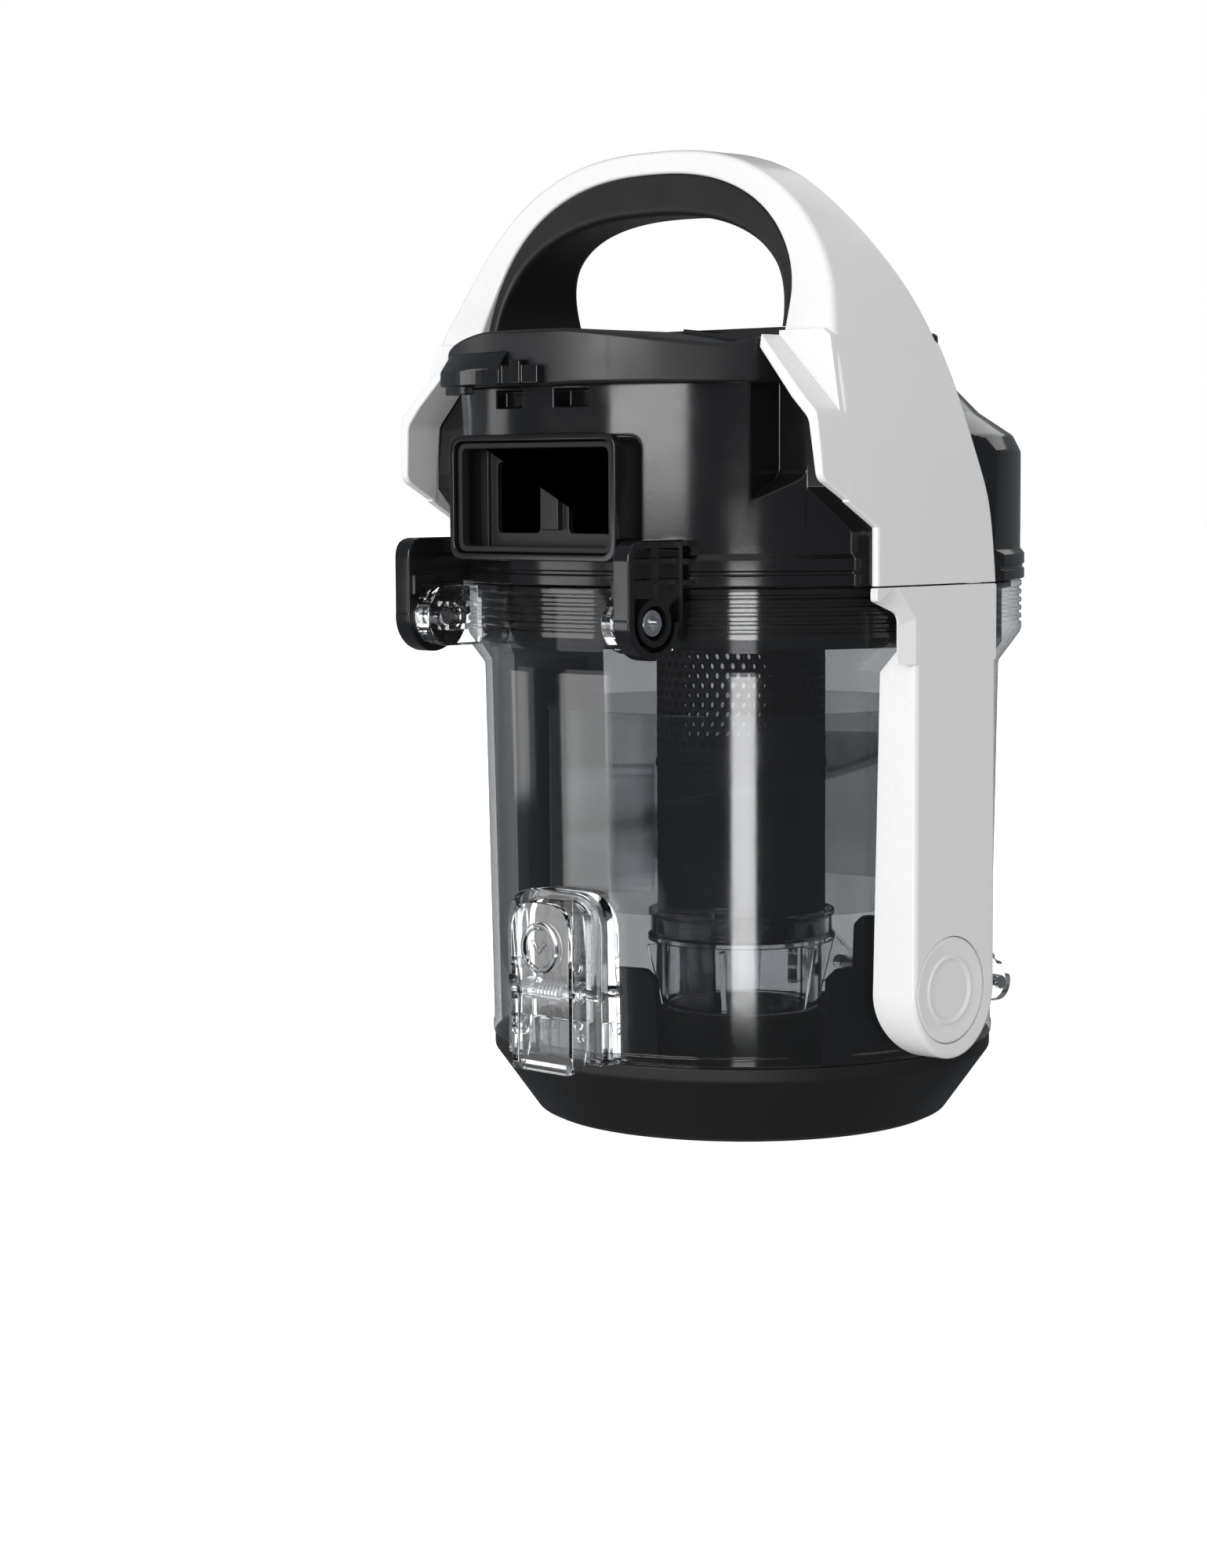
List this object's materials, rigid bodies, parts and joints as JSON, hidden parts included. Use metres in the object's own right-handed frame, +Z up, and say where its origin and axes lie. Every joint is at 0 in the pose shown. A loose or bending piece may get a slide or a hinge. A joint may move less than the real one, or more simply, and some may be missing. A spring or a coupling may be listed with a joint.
{
  "type": "vacuum cleaner dust container",
  "caption": "Clear cyclone dust bin with hinged base lid, front release latch, hinged black filter head with side-facing outlet port, and white arched carry handle.",
  "frame": {"origin": "centre of the footprint at the underside of the base lid, on the surface the container stands on", "axes": "+Z up along the bin's axis, -Y towards the outlet port and the lid latch, +X to the right-hand white panel seen from the front"},
  "size_m": [0.176, 0.1969, 0.2965],
  "materials": {
    "smoky_clear": "transparent smoky grey plastic",
    "clear": "transparent colourless plastic",
    "gloss_white": "glossy white plastic",
    "gloss_black": "glossy black plastic",
    "satin_black": "satin black plastic",
    "matt_black": "finely textured matt black plastic",
    "soft_grip": "soft-touch satin black",
    "rubber": "matt seal rubber",
    "filter_paper": "pleated filter paper",
    "steel": "bright steel"
  },
  "bodies": {
    "bin": {"bin_shell": "smoky_clear", "collar_seal": "rubber", "side_panel_right": "gloss_white", "side_panel_left": "gloss_white", "panel_backing_right": "satin_black", "panel_backing_left": "satin_black", "trim_disc_right": "gloss_white", "trim_disc_left": "gloss_white", "cyclone_plate": "matt_black", "shroud_tube": "satin_black", "cyclone_skirt": "smoky_clear", "spiral_ramp": "smoky_clear", "tube_foot_ring": "clear", "inlet_tube": "clear", "filter_frame": "satin_black", "filter_pleats": "filter_paper", "filter_seal": "rubber", "lid_hinge_pin": "steel", "latch_pin": "steel", "latch_spring": "steel"},
    "lid": {"base_lid": "matt_black", "lid_seal": "rubber", "inlet_seal": "rubber"},
    "latch": {"latch_lever": "clear"},
    "head": {"head_housing": "gloss_black", "port_seal": "rubber", "port_baffle": "satin_black", "hinge_screw_right": "steel", "hinge_screw_left": "steel", "top_cover": "satin_black", "docking_catch": "gloss_black", "handle_shell": "gloss_white", "handle_grip": "soft_grip", "rear_latch_pin": "steel", "rear_latch_spring": "steel"},
    "rear_latch": {"rear_latch": "satin_black"}
  },
  "joints": [
    {"name": "lid_hinge", "type": "hinge", "parent": "bin", "child": "lid", "pos_m": [0, 0.0905, 0.033], "axis": [1, 0, 0], "range_deg": [0, 80]},
    {"name": "head_hinge", "type": "hinge", "parent": "bin", "child": "head", "pos_m": [0, -0.0878, 0.1574], "axis": [1, 0, 0], "range_deg": [0, 90]},
    {"name": "latch_press", "type": "hinge", "parent": "bin", "child": "latch", "pos_m": [0, -0.0789, 0.046], "axis": [-1, 0, 0], "range_deg": [0, 8], "stiffness_Nm_per_rad": 0.5},
    {"name": "rear_latch_press", "type": "hinge", "parent": "head", "child": "rear_latch", "pos_m": [0, 0.0951, 0.176], "axis": [1, 0, 0], "range_deg": [0, 10], "stiffness_Nm_per_rad": 0.5}
  ]
}
